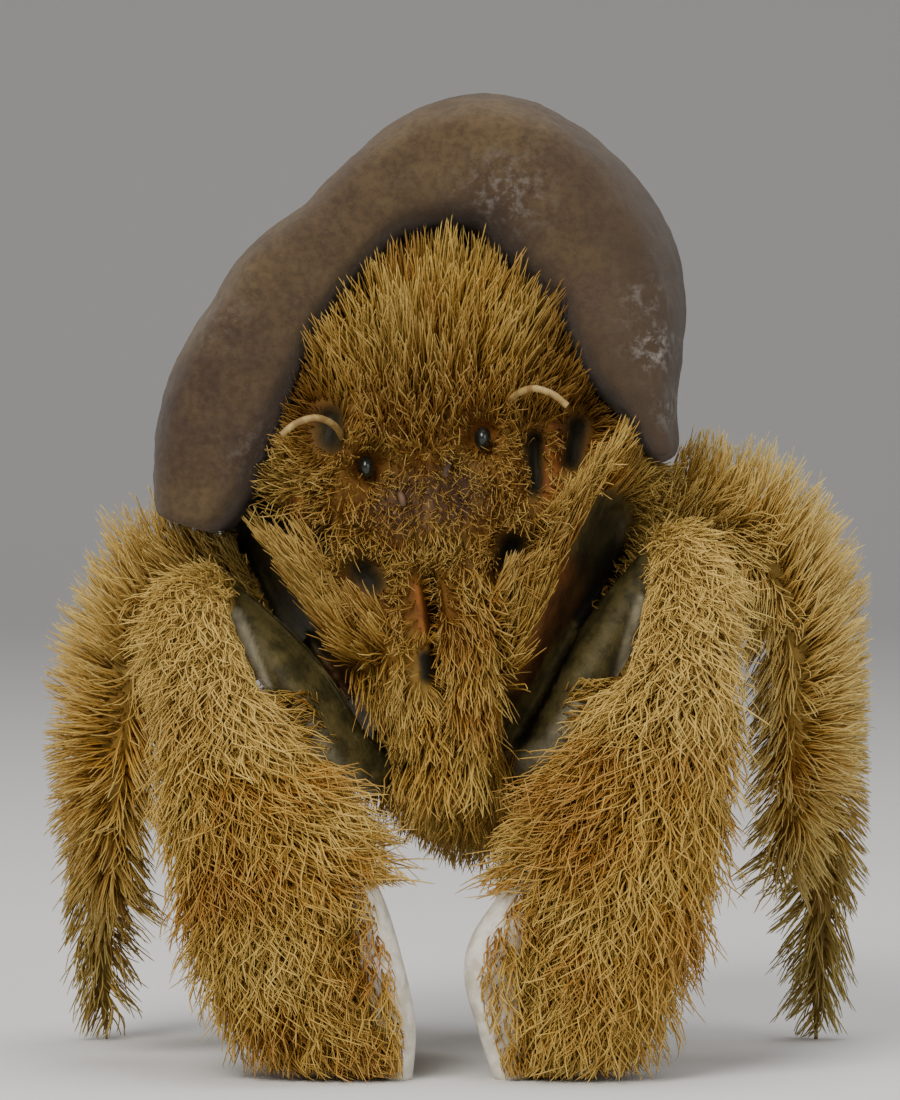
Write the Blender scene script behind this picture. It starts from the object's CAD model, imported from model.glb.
"""The looks of a life-size still model of a sponge crab under its cap of sponge.

Places and sizes are in millimetres, in the frame in which the crab was laid out. SHIFT moves them to
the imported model's frame, and they become metres where the meshes are made.
The crab faces -Y, its right side is at -X, and the floor is z = 0.
"""

import math
from functools import cached_property

import bmesh
import bpy
import numpy as np
from mathutils import Matrix, Vector, noise
from mathutils.bvhtree import BVHTree
from mathutils.kdtree import KDTree


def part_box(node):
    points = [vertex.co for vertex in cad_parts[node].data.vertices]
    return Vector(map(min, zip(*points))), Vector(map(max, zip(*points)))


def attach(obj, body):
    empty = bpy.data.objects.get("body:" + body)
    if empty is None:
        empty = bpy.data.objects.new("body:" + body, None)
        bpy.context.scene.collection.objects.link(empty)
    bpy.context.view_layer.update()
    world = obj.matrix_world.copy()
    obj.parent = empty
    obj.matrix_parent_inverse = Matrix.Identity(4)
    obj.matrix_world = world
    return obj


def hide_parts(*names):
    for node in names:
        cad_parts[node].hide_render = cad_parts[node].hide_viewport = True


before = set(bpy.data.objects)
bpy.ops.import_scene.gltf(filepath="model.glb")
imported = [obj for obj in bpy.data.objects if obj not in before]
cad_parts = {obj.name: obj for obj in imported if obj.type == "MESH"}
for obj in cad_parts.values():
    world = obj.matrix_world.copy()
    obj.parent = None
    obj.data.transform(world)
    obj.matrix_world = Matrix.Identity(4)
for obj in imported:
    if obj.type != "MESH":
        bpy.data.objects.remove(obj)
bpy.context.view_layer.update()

MM = 0.001
SEED = 11
RNG = np.random.default_rng(SEED)

# Body sections before the turn: distance from front to back, bottom, widest level, top, half width
BELLY_POWER = 1.45
BACK_POWER = 0.92
BODY_STATIONS = (
    (-27.0, 38.0, 58.0, 66.0, 8.0),
    (-25.5, 33.0, 62.0, 76.0, 15.0),
    (-20.0, 30.0, 65.0, 86.0, 20.5),
    (-10.0, 28.0, 65.0, 92.5, 25.0),
    (3.0, 27.0, 62.0, 95.0, 27.0),
    (16.0, 28.0, 58.0, 91.0, 25.5),
    (27.0, 31.0, 54.0, 81.0, 20.5),
    (35.0, 37.0, 52.0, 68.0, 13.0),
)
BODY_PIVOT = Vector((-2.0, -25.0, 55.0))
BODY_PITCH = math.radians(38)
BODY_TURN = math.radians(-8)
BODY_ROLL = math.radians(-4)

# Limbs. Each row is a station: x, y, z, half width across the view, half depth
CHELIPED_RIGHT = (
    (-6.0, -12.0, 36.0, 4.0, 4.0),
    (-11.0, -20.0, 36.0, 4.2, 4.2),
    (-18.5, -19.0, 46.0, 4.5, 4.5),
    (-26.5, -16.5, 54.0, 4.0, 4.0),
    (-30.2, -24.2, 53.5, 5.2, 5.0),
    (-27.5, -29.5, 43.0, 5.6, 5.4),
    (-25.0, -31.0, 35.0, 7.6, 6.6),
    (-21.3, -32.0, 26.5, 9.6, 7.4),
    (-19.0, -33.0, 18.0, 9.6, 7.0),
    (-15.8, -33.5, 10.0, 7.8, 5.2),
    (-11.0, -33.5, 3.5, 4.8, 3.4),
    (-8.0, -33.0, -0.8, 2.6, 2.2),
)
CHELIPED_LEFT = (
    (4.0, -12.0, 38.0, 4.0, 4.0),
    (10.5, -20.0, 37.5, 4.2, 4.2),
    (17.0, -18.5, 48.0, 4.4, 4.4),
    (24.5, -16.0, 58.5, 3.8, 3.8),
    (28.0, -22.5, 59.0, 4.8, 4.8),
    (27.0, -29.0, 48.0, 5.4, 5.2),
    (24.5, -31.0, 39.0, 7.4, 6.4),
    (20.3, -32.0, 28.0, 9.6, 7.4),
    (16.8, -33.0, 17.0, 9.8, 7.0),
    (14.2, -33.5, 8.5, 7.8, 5.2),
    (12.0, -33.0, 3.0, 5.2, 3.4),
    (11.2, -33.0, -0.8, 3.2, 2.2),
)
FINGER_RIGHT = (
    (-12.5, -34.0, 26.0, 1.8, 2.4),
    (-10.2, -35.0, 20.5, 2.6, 3.4),
    (-8.3, -35.3, 13.5, 2.9, 3.4),
    (-6.6, -34.8, 6.0, 2.7, 2.8),
    (-6.0, -34.0, -0.8, 1.6, 1.8),
)
FINGER_LEFT = (
    (10.0, -34.0, 25.0, 1.8, 2.4),
    (7.8, -35.0, 19.5, 3.0, 3.4),
    (5.4, -35.3, 13.5, 3.8, 3.4),
    (6.2, -34.8, 6.5, 3.2, 2.8),
    (7.2, -34.0, -0.8, 1.8, 1.8),
)
LEG2_RIGHT = (
    (-14.0, -4.0, 47.0, 3.0, 3.0),
    (-25.0, -8.0, 56.5, 4.0, 4.0),
    (-33.0, -10.0, 58.0, 3.4, 3.4),
    (-36.2, -10.5, 53.0, 3.6, 3.6),
    (-38.2, -11.0, 46.0, 3.1, 3.1),
    (-39.6, -11.0, 37.0, 3.4, 3.4),
    (-40.4, -10.5, 27.0, 2.8, 2.8),
    (-40.0, -10.0, 21.5, 2.2, 2.2),
    (-38.4, -9.5, 17.0, 1.0, 1.0),
)
LEG2_LEFT = (
    (18.0, 0.0, 50.0, 3.0, 3.0),
    (26.5, -3.0, 63.0, 4.2, 4.2),
    (35.2, -6.0, 63.0, 3.5, 3.5),
    (39.2, -7.0, 57.5, 3.8, 3.8),
    (41.0, -8.0, 50.0, 3.2, 3.2),
    (41.6, -8.0, 41.0, 3.6, 3.6),
    (41.0, -8.0, 31.0, 2.9, 2.9),
    (40.2, -7.5, 25.5, 2.3, 2.3),
    (38.5, -7.0, 21.0, 1.0, 1.0),
)
LEG3_RIGHT = (
    (-13.0, 8.0, 44.0, 3.0, 3.0),
    (-27.0, 13.0, 51.0, 4.0, 4.0),
    (-37.0, 16.0, 51.0, 3.4, 3.4),
    (-40.5, 17.0, 46.0, 3.5, 3.5),
    (-42.2, 17.5, 40.0, 3.0, 3.0),
    (-42.8, 17.5, 31.0, 3.3, 3.3),
    (-42.8, 17.0, 20.0, 2.8, 2.8),
    (-42.5, 16.5, 10.0, 2.2, 2.2),
    (-42.0, 16.0, -0.8, 1.2, 1.2),
)
LEG3_LEFT = (
    (19.0, 8.0, 48.0, 3.0, 3.0),
    (31.0, 12.0, 57.0, 4.0, 4.0),
    (41.0, 15.0, 56.0, 3.4, 3.4),
    (44.2, 16.0, 50.5, 3.5, 3.5),
    (45.6, 16.5, 43.0, 3.0, 3.0),
    (45.8, 16.5, 33.0, 3.3, 3.3),
    (45.4, 16.5, 21.0, 2.8, 2.8),
    (45.0, 16.0, 10.0, 2.2, 2.2),
    (44.8, 16.0, -0.8, 1.2, 1.2),
)
LEG4_RIGHT = (
    (-12.0, 20.0, 44.0, 2.6, 2.6),
    (-24.0, 26.0, 48.0, 3.0, 3.0),
    (-31.0, 27.0, 50.0, 2.5, 2.5),
    (-31.0, 25.0, 56.0, 2.4, 2.4),
    (-25.0, 22.0, 63.0, 1.2, 1.2),
)
LEG4_LEFT = (
    (20.0, 20.0, 50.0, 2.6, 2.6),
    (28.0, 26.0, 55.0, 3.0, 3.0),
    (34.0, 27.0, 58.0, 2.5, 2.5),
    (35.0, 25.0, 65.0, 2.4, 2.4),
    (29.0, 22.0, 72.5, 1.2, 1.2),
)
LEG5_RIGHT = (
    (-4.0, 27.0, 46.0, 2.4, 2.4),
    (-13.0, 38.0, 47.0, 2.7, 2.7),
    (-20.0, 41.0, 50.0, 2.3, 2.3),
    (-21.5, 39.0, 56.0, 2.2, 2.2),
    (-17.0, 35.0, 63.0, 1.2, 1.2),
)
LEG5_LEFT = (
    (12.0, 27.0, 50.0, 2.4, 2.4),
    (20.0, 37.0, 52.0, 2.7, 2.7),
    (26.0, 40.0, 56.0, 2.3, 2.3),
    (27.0, 38.0, 63.0, 2.2, 2.2),
    (22.0, 34.0, 70.0, 1.2, 1.2),
)
LIMBS = {
    "cheliped_right": CHELIPED_RIGHT, "cheliped_left": CHELIPED_LEFT,
    "leg2_right": LEG2_RIGHT, "leg2_left": LEG2_LEFT,
    "leg3_right": LEG3_RIGHT, "leg3_left": LEG3_LEFT,
    "leg4_right": LEG4_RIGHT, "leg4_left": LEG4_LEFT,
    "leg5_right": LEG5_RIGHT, "leg5_left": LEG5_LEFT,
}
LIMB_NAMES = list(LIMBS)

# Face
EYE_RADII = (1.0, 1.5, 1.35)
EYE_PLACES = {"right": Vector((-9.8, -24.6, 70.6)), "left": Vector((3.8, -25.4, 74.0))}
MOUTH_TOP = 60.0
MOUTH_BOTTOM = 35.0
MOUTH_TOP_WIDTH = 9.0
MOUTH_BOTTOM_WIDTH = 2.6
MOUTH_FRONT = -31.0
MOUTH_BACK = -24.0

# Sponge cap. Each row: x, z of the middle of the front rim, half thickness, y of the rim
SPONGE_RIM = (
    (-31.1, 64.0, 5.2, -23.5),
    (-28.4, 71.5, 7.8, -25.0),
    (-25.7, 79.6, 8.7, -24.5),
    (-22.3, 86.5, 7.9, -23.5),
    (-18.5, 92.8, 7.1, -22.0),
    (-13.4, 98.0, 5.9, -20.5),
    (-8.7, 102.6, 6.4, -19.5),
    (-0.9, 106.1, 8.5, -18.5),
    (6.6, 105.4, 9.6, -18.5),
    (13.3, 99.7, 10.2, -19.5),
    (18.7, 93.0, 9.6, -21.0),
    (20.9, 85.0, 7.5, -22.5),
    (22.8, 78.3, 4.3, -23.5),
    (25.3, 71.8, 1.8, -24.0),
)
SPONGE_BACK = 41.0
SPONGE_END = 0.8
SPONGE_TUCK = 10.0
SPONGE_DRIFT = 0.11
SPONGE_THINNING = 0.35

# How far the skin lies under the solids' cores, and how finely it is made
BODY_DEPTH = 1.0
LIMB_DEPTH = 1.0
MOUTH_DEPTH = 0.3
SKIN_VOXEL = 0.5
SPONGE_VOXEL = 0.7

# Camera, laid out so that one pixel of the 900 x 1100 picture is 0.12 mm at the crab
VIEW_DISTANCE = 900.0
VIEW_ELEVATION = math.radians(1.5)
VIEW_TARGET = Vector((0.0, 0.0, 60.3))
VIEW_HEIGHT = 132.0
SENSOR = 36.0

DOWN = np.array((0.0, 0.0, -1.0))
FORWARD = np.array((0.0, -1.0, 0.0))


def solid_shift():
    """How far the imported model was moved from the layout's frame, read from where an eye ended."""
    low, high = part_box("eye_right")
    return (low + high) / 2 / MM - EYE_PLACES["right"]


SHIFT = solid_shift()


def to_metres(points):
    return (np.asarray(points, float) + np.array(SHIFT)) * MM


# Small helpers for arrays

def unit(v):
    return v / np.maximum(np.linalg.norm(v, axis=-1, keepdims=True), 1e-9)


def smoothstep(low, high, value):
    t = np.clip((value - low) / (high - low), 0.0, 1.0)
    return t * t * (3 - 2 * t)


def mix(a, b, t):
    return a + (b - a) * t


def spline_at(rows, place):
    """A Catmull-Rom curve through some rows, at an array of row numbers with fractions."""
    rows = np.asarray(rows, float)
    last = len(rows) - 1
    place = np.clip(np.asarray(place, float), 0.0, last)
    i = np.minimum(place.astype(int), last - 1)
    t = (place - i)[..., None]
    a, b = rows[np.maximum(i - 1, 0)], rows[i]
    c, d = rows[i + 1], rows[np.minimum(i + 2, last)]
    bend, twist = 2 * a - 5 * b + 4 * c - d, 3 * b - a - 3 * c + d
    return 0.5 * (2 * b + (c - a) * t + bend * t ** 2 + twist * t ** 3)


def circle(sides):
    """Angles of a ring's points."""
    return 2 * math.pi * np.arange(sides) / sides


def segment_distance(points, a, b):
    """Distance in the view's plane from points to a line from a to b, and how far along it they are."""
    a, b = np.asarray(a, float), np.asarray(b, float)
    d = b - a
    t = np.clip(((points - a) @ d) / (d @ d), 0, 1)
    return np.linalg.norm(points - (a + t[:, None] * d), axis=1), t


# Mesh making

def make_mesh(name, points, quads, triangles):
    """An object from arrays, whose points are in layout millimetres."""
    mesh = bpy.data.meshes.new(name)
    corners = np.concatenate([np.asarray(faces, np.int32).reshape(-1) for faces in (quads, triangles)])
    sizes = np.repeat(np.array((4, 3), np.int32), (len(quads), len(triangles)))
    mesh.vertices.add(len(points))
    mesh.vertices.foreach_set("co", to_metres(points).astype(np.float32).reshape(-1))
    mesh.loops.add(len(corners))
    mesh.loops.foreach_set("vertex_index", corners)
    mesh.polygons.add(len(sizes))
    starts = np.concatenate(([0], np.cumsum(sizes)[:-1])).astype(np.int32)
    mesh.polygons.foreach_set("loop_start", starts)
    mesh.polygons.foreach_set("loop_total", sizes)
    mesh.update(calc_edges=True)
    mesh.shade_smooth()
    made = bpy.data.objects.new(name, mesh)
    bpy.context.scene.collection.objects.link(made)
    return made


def ring_quads(count, sides):
    """The numbers of the points in each ring, of the next ones round, and of the faces between rings."""
    index = np.arange(count * sides).reshape(count, sides)
    after = np.roll(index, -1, axis=1)
    quads = np.stack((index[:-1], after[:-1], after[1:], index[1:]), axis=-1).reshape(-1, 4)
    return index, after, quads


def ring_mesh(name, rings):
    """Rings joined into a closed tube, with a fan at each end."""
    rings = np.asarray(rings, float)
    count, sides = rings.shape[:2]
    index, after, quads = ring_quads(count, sides)
    points = np.concatenate((rings.reshape(-1, 3), rings[0].mean(0)[None], rings[-1].mean(0)[None]))
    first, last = count * sides, count * sides + 1
    fans = [(first, b, a) for a, b in zip(index[0], after[0])]
    fans += [(last, a, b) for a, b in zip(index[-1], after[-1])]
    made = make_mesh(name, points, quads, fans)
    face_out(made)
    return made


def face_out(made):
    """Turn every face of a closed mesh outward."""
    built = bmesh.new()
    built.from_mesh(made.data)
    bmesh.ops.recalc_face_normals(built, faces=built.faces)
    built.to_mesh(made.data)
    built.free()


def apply_modifiers(made):
    graph = bpy.context.evaluated_depsgraph_get()
    done = bpy.data.meshes.new_from_object(made.evaluated_get(graph))
    made.modifiers.clear()
    made.data = done


def mesh_points(made):
    points = np.zeros(len(made.data.vertices) * 3, np.float32)
    made.data.vertices.foreach_get("co", points)
    return points.reshape(-1, 3).astype(float) / MM - np.array(SHIFT)


def set_points(made, points):
    made.data.vertices.foreach_set("co", to_metres(points).astype(np.float32).reshape(-1))
    made.data.update()


def mesh_normals(made):
    normals = np.zeros(len(made.data.vertices) * 3, np.float32)
    made.data.vertices.foreach_get("normal", normals)
    return normals.reshape(-1, 3).astype(float)


def add_values(made, name, values):
    """Store one number or one vector for each point of a mesh."""
    values = np.asarray(values, np.float32)
    kind, key = ("FLOAT", "value") if values.ndim == 1 else ("FLOAT_VECTOR", "vector")
    made.data.attributes.new(name, kind, "POINT").data.foreach_set(key, values.reshape(-1))


def place(made, nodes, slot):
    """Let a piece ride on the body, and say which nodes it stands for and its slot."""
    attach(made, "root")
    if nodes:
        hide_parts(*nodes)


def dress(made, material, node, slot):
    """Finish a small piece that stands for one node."""
    add_values(made, "root", mesh_points(made))
    made.data.materials.append(material)
    place(made, [node], slot)


# Forms under the coat

def body_turn():
    upright = Vector((0, math.sin(BODY_PITCH), math.cos(BODY_PITCH)))
    turn = Matrix.Rotation(BODY_TURN, 4, upright)
    roll = Matrix.Rotation(BODY_ROLL, 4, Vector((0, 1, 0)))
    back = Matrix.Translation(-Vector((0, BODY_PIVOT.y, BODY_PIVOT.z)))
    return Matrix.Translation(BODY_PIVOT) @ roll @ turn @ back


TURN = np.array(body_turn())


def turned(points):
    return points @ TURN[:3, :3].T + TURN[:3, 3]


def unturned(points):
    return (points - TURN[:3, 3]) @ TURN[:3, :3]


def body_rings(grow, sides=72, count=48):
    rows = spline_at(BODY_STATIONS, np.linspace(0, len(BODY_STATIONS) - 1, count + 1))
    across, up = np.cos(circle(sides)), np.sin(circle(sides))
    power = np.where(up > 0, BACK_POWER, BELLY_POWER)
    rings = []
    for y, bottom, level, top, half in rows:
        y = y + grow * (1 if y > 0 else -1)
        reach = np.where(up > 0, top - level, level - bottom)
        x = np.sign(across) * np.abs(across) ** power * (half + grow)
        z = level + np.sign(up) * np.abs(up) ** power * (reach + grow)
        rings.append(turned(np.stack((x, np.full(sides, y), z), axis=1)))
    return rings


def tube_frames(stations, places):
    """The centre, direction, width direction and depth direction of a tube at some places."""
    rows = spline_at(stations, places)
    last = len(stations) - 1
    ahead = spline_at(stations, np.minimum(places + 0.05, last))[:, :3]
    behind = spline_at(stations, np.maximum(places - 0.05, 0))[:, :3]
    along = unit(ahead - behind)
    wide = np.cross(along, np.array((0.0, 1.0, 0.0)))
    weak = np.linalg.norm(wide, axis=1) < 0.2
    wide[weak] = (1.0, 0.0, 0.0)
    wide = unit(wide)
    deep = unit(np.cross(wide, along))
    return rows, along, wide, deep


# No ring of a limb is thinner than this
THINNEST = 0.4


def tube_rings(stations, grow, sides=28, per_span=8):
    last = len(stations) - 1
    rows, _, wide, deep = tube_frames(stations, np.linspace(0.0, last, last * per_span + 1))
    angle = circle(sides)
    half_width, half_depth = np.maximum(rows[:, 3:] + grow, THINNEST).T
    return (
        rows[:, None, :3]
        + wide[:, None] * (np.cos(angle) * half_width[:, None])[..., None]
        + deep[:, None] * (np.sin(angle) * half_depth[:, None])[..., None]
    )


def mouth_rings(side, grow, sides=24):
    rings = []
    angle = circle(sides)
    across = np.sign(np.cos(angle)) * np.abs(np.cos(angle)) ** 0.7
    for t in np.linspace(0, 1, 25):
        z = mix(MOUTH_TOP, MOUTH_BOTTOM, t)
        width = mix(MOUTH_TOP_WIDTH, MOUTH_BOTTOM_WIDTH, t)
        bulge = math.sin(math.pi * (0.18 + 0.64 * t))
        front = MOUTH_BACK + (MOUTH_FRONT - MOUTH_BACK) * bulge
        x = side * (0.35 + width / 2) + (width / 2 + grow) * across
        y = (front + MOUTH_BACK) / 2 + ((MOUTH_BACK - front) / 2 + grow) * np.sin(angle)
        rings.append(turned(np.stack((x, y, np.full(sides, z)), axis=1)))
    return rings


def blob(name, centre, radii, sides=24):
    """An ellipsoid as a closed mesh."""
    rings = []
    angle = circle(sides)
    for v in np.linspace(0.04, 0.96, sides // 2):
        ring = np.stack((
            radii[0] * math.sin(math.pi * v) * np.cos(angle),
            radii[1] * math.sin(math.pi * v) * np.sin(angle),
            np.full(sides, radii[2] * math.cos(math.pi * v)),
        ), axis=1)
        rings.append(ring + np.array(centre))
    return ring_mesh(name, rings)


def remesh(made, voxel, rounds):
    """Even out a mesh's faces, which also joins what crosses, and soften it."""
    even = made.modifiers.new("even", "REMESH")
    even.mode = "VOXEL"
    even.voxel_size = voxel * MM
    even.use_smooth_shade = True
    apply_modifiers(made)
    soften = made.modifiers.new("soften", "SMOOTH")
    soften.factor = 0.5
    soften.iterations = rounds
    apply_modifiers(made)


def join_meshes(name, parts):
    """One object from several, without their materials."""
    points, quads, triangles, start = [], [], [], 0
    for part in parts:
        own = mesh_points(part)
        points.append(own)
        for face in part.data.polygons:
            corners = [start + v for v in face.vertices]
            if len(corners) == 4:
                quads.append(corners)
            else:
                triangles.append(corners)
        start += len(own)
        bpy.data.objects.remove(part, do_unlink=True)
    return make_mesh(name, np.concatenate(points), quads, triangles)


# The skin's small forms, by where they show from the front: two ends, radius, height or depth
LOBES = (
    ((-12.2, 73.0), (-14.8, 59.0), 2.3, 2.0),
    ((6.6, 69.5), (10.0, 65.2), 2.3, 2.2),
    ((-9.6, 75.0), (-5.6, 76.0), 2.0, 1.2),
    ((1.6, 78.6), (5.6, 78.8), 2.0, 1.2),
    ((-2.6, 72.0), (-2.6, 63.5), 1.3, 1.5),
    ((-3.8, 57.0), (-2.2, 49.5), 0.7, 1.0),
)
EYE_HOLLOWS = (
    ((-9.9, 70.7), (-9.4, 70.6), 2.1, 2.6),
    ((3.9, 74.0), (3.5, 73.9), 2.1, 2.6),
)
HOLLOWS = (
    ((-13.9, 76.0), (-13.9, 73.9), 1.6, 2.6),
    ((-23.0, 67.0), (-18.1, 61.4), 1.7, 3.6),
    ((-15.4, 64.0), (-15.0, 61.0), 1.2, 2.6),
    ((-10.2, 58.4), (-9.2, 57.2), 1.5, 2.2),
    ((9.8, 73.6), (9.9, 68.4), 1.1, 3.0),
    ((14.8, 75.2), (14.2, 71.5), 1.3, 3.0),
    ((7.3, 61.6), (6.6, 59.8), 1.4, 2.6),
)
WALLS = (
    ((-17.6, 66.0), (-16.8, 60.5), 1.3),
    ((12.4, 74.5), (11.8, 66.5), 1.3),
)
GROOVES = (
    ((-24.5, 61.5), (-8.6, 37.6), 3.3, 3.6),
    ((18.4, 64.5), (7.4, 40.5), 3.3, 3.6),
)
# The fringes also state the way their hairs point, across and up, and the hairs' length
FRINGES = (
    ((-10.5, 49.5), (-24.4, 65.0), 1.8, 2.2, (-0.6, 0.8), 6.5),
    ((-8.6, 51.0), (-15.5, 58.0), 2.0, 1.2, (-0.5, 0.86), 6.0),
    ((7.6, 47.5), (17.6, 68.0), 2.5, 2.2, (0.36, 0.93), 8.0),
    ((6.6, 54.0), (12.0, 62.0), 2.4, 1.2, (0.3, 0.95), 7.0),
)
# Openings and the smooth ridge in the middle of the mouth, kept free of hair: two ends, half width
OPENINGS = (
    ((-13.9, 76.0), (-13.9, 73.9), 1.5),
    ((-9.8, 70.6), (-9.6, 70.6), 1.2),
    ((3.8, 74.0), (3.7, 74.0), 1.2),
    ((-10.4, 58.6), (-9.2, 57.0), 1.1),
    ((7.4, 61.8), (6.6, 59.4), 1.0),
    ((9.8, 73.6), (9.9, 68.4), 0.9),
    ((14.8, 75.2), (14.2, 71.5), 1.0),
    ((-2.3, 57.2), (-1.9, 53.8), 0.7),
    ((-3.9, 56.6), (-3.0, 52.4), 0.6),
    ((-2.9, 48.4), (-2.7, 46.8), 0.9),
)
MOUTH_SLIT = ((-2.1, 57.1), (-0.7, 41.8))
FACE_MIDDLE = ((-6.0, 66.0), (1.5, 67.5), 3.6)
# The dark floor of the grooves, and their red-brown inner walls
VALLEYS = (
    ((-25.0, 58.0), (-12.0, 35.5), 2.6),
    ((19.5, 60.0), (9.5, 38.0), 2.4),
    ((-2.9, 48.6), (-2.7, 46.4), 0.9),
)
RUSTY_WALLS = (
    ((-15.0, 46.0), (-11.0, 38.5), 1.8),
    ((14.6, 56.0), (9.5, 44.0), 2.0),
)
AMBER_STROKES = (
    ((-3.8, 56.6), (-2.8, 51.5), 0.6),
    ((-15.0, 46.0), (-11.0, 41.0), 2.2),
    ((13.5, 58.0), (9.0, 46.0), 2.2),
    ((-13.2, 57.0), (-12.4, 55.5), 1.4),
)
# Pale edges and soft lumps, by where they show from the front: two ends, half width, strength
PALE_RIMS = (
    ((-25.2, 53.2), (-21.6, 44.6), 0.75, 0.95),
    ((22.4, 55.0), (19.8, 46.0), 0.65, 0.9),
    ((-12.5, 32.5), (-5.5, 27.5), 2.6, 0.5),
    ((7.5, 33.5), (13.5, 37.5), 2.6, 0.5),
    ((12.5, 38.5), (16.5, 43.5), 1.6, 0.45),
    ((-14.0, 35.5), (-17.5, 40.5), 1.4, 0.4),
)
# The grooves and the arms' pale edges lie in front of this y
GROOVE_BACK = -8.0


def stroke_share(view, a, b, radius, power=2):
    """How near each spot of the front view is to a line: 1 on it, easing to 0 beyond the radius."""
    away, _ = segment_distance(view, a, b)
    return np.exp(-(away / radius) ** power)


def front_share(points, normals):
    return smoothstep(0.05, 0.5, -normals[:, 1]) * smoothstep(-10.0, -15.0, points[:, 1])


def sculpt(points, normals):
    """Move the skin's points: humps and hollows on the front of the body."""
    view = points[:, (0, 2)]
    move = np.zeros(len(points))
    for a, b, radius, height, *_ in LOBES + FRINGES:
        move += height * stroke_share(view, a, b, radius)
    for a, b, radius, depth in EYE_HOLLOWS + HOLLOWS + GROOVES:
        move -= depth * stroke_share(view, a, b, radius)
    move -= 1.6 * stroke_share(view, *MOUTH_SLIT, 0.7)
    return points + FORWARD * (move * front_share(points, normals))[:, None]


def lump(points, size, seed):
    """Smooth noise from -1 to 1 at each point."""
    offset = Vector((seed * 17.3, seed * 5.1, seed * 9.7))
    return np.array([noise.noise(Vector(p) / size + offset) for p in points])


def make_skin():
    parts = [ring_mesh("body", body_rings(-BODY_DEPTH))]
    for name, stations in LIMBS.items():
        parts.append(ring_mesh(name, tube_rings(stations, -LIMB_DEPTH)))
    for side in (-1, 1):
        parts.append(ring_mesh("mouth", mouth_rings(side, -MOUTH_DEPTH)))
    skin = join_meshes("skin", parts)
    remesh(skin, SKIN_VOXEL, 5)
    points, normals = mesh_points(skin), mesh_normals(skin)
    points = sculpt(points, normals)
    points[:, 2] = np.maximum(points[:, 2], 0.02)
    set_points(skin, points)
    return skin


# Which form each point of the skin belongs to

def nearest_limb(points):
    """For each point: the limb whose surface is nearest, the station number, and that surface's distance."""
    best = np.full(len(points), 1e9)
    which = np.full(len(points), -1)
    where = np.zeros(len(points))
    for n, name in enumerate(LIMB_NAMES):
        stations = LIMBS[name]
        places = np.linspace(0, len(stations) - 1, (len(stations) - 1) * 12 + 1)
        rows = spline_at(stations, places)
        for start in range(0, len(points), 20000):
            part = slice(start, start + 20000)
            gap = np.linalg.norm(points[part, None] - rows[None, :, :3], axis=2)
            gap = gap - rows[None, :, 3] * 0.5 - rows[None, :, 4] * 0.5 + LIMB_DEPTH
            k = gap.argmin(1)
            value = np.abs(gap[np.arange(len(k)), k])
            closer = value < best[part]
            best[part] = np.where(closer, value, best[part])
            which[part] = np.where(closer, n, which[part])
            where[part] = np.where(closer, places[k], where[part])
    return which, where, best


def body_distance(points, tree):
    out = np.zeros(len(points))
    for k, p in enumerate(points):
        out[k] = tree.find_nearest(Vector(p))[3]
    return out


def ring_tree(rings):
    rings = np.asarray(rings)
    index, _, quads = ring_quads(*rings.shape[:2])
    faces = [tuple(int(v) for v in quad) for quad in quads]
    faces += [tuple(int(v) for v in index[0][::-1]), tuple(int(v) for v in index[-1])]
    return BVHTree.FromPolygons([Vector(p) for p in rings.reshape(-1, 3)], faces)


def sort_points(points):
    """The form each point lies on: -1 for the body, or the number of a limb, and its station there."""
    which, where, limb_gap = nearest_limb(points)
    body_gap = body_distance(points, ring_tree(body_rings(-BODY_DEPTH, 36, 24)))
    on_body = body_gap < limb_gap * 0.8 + 0.1
    which[on_body] = -1
    return which, where


# How the coat lies

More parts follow.
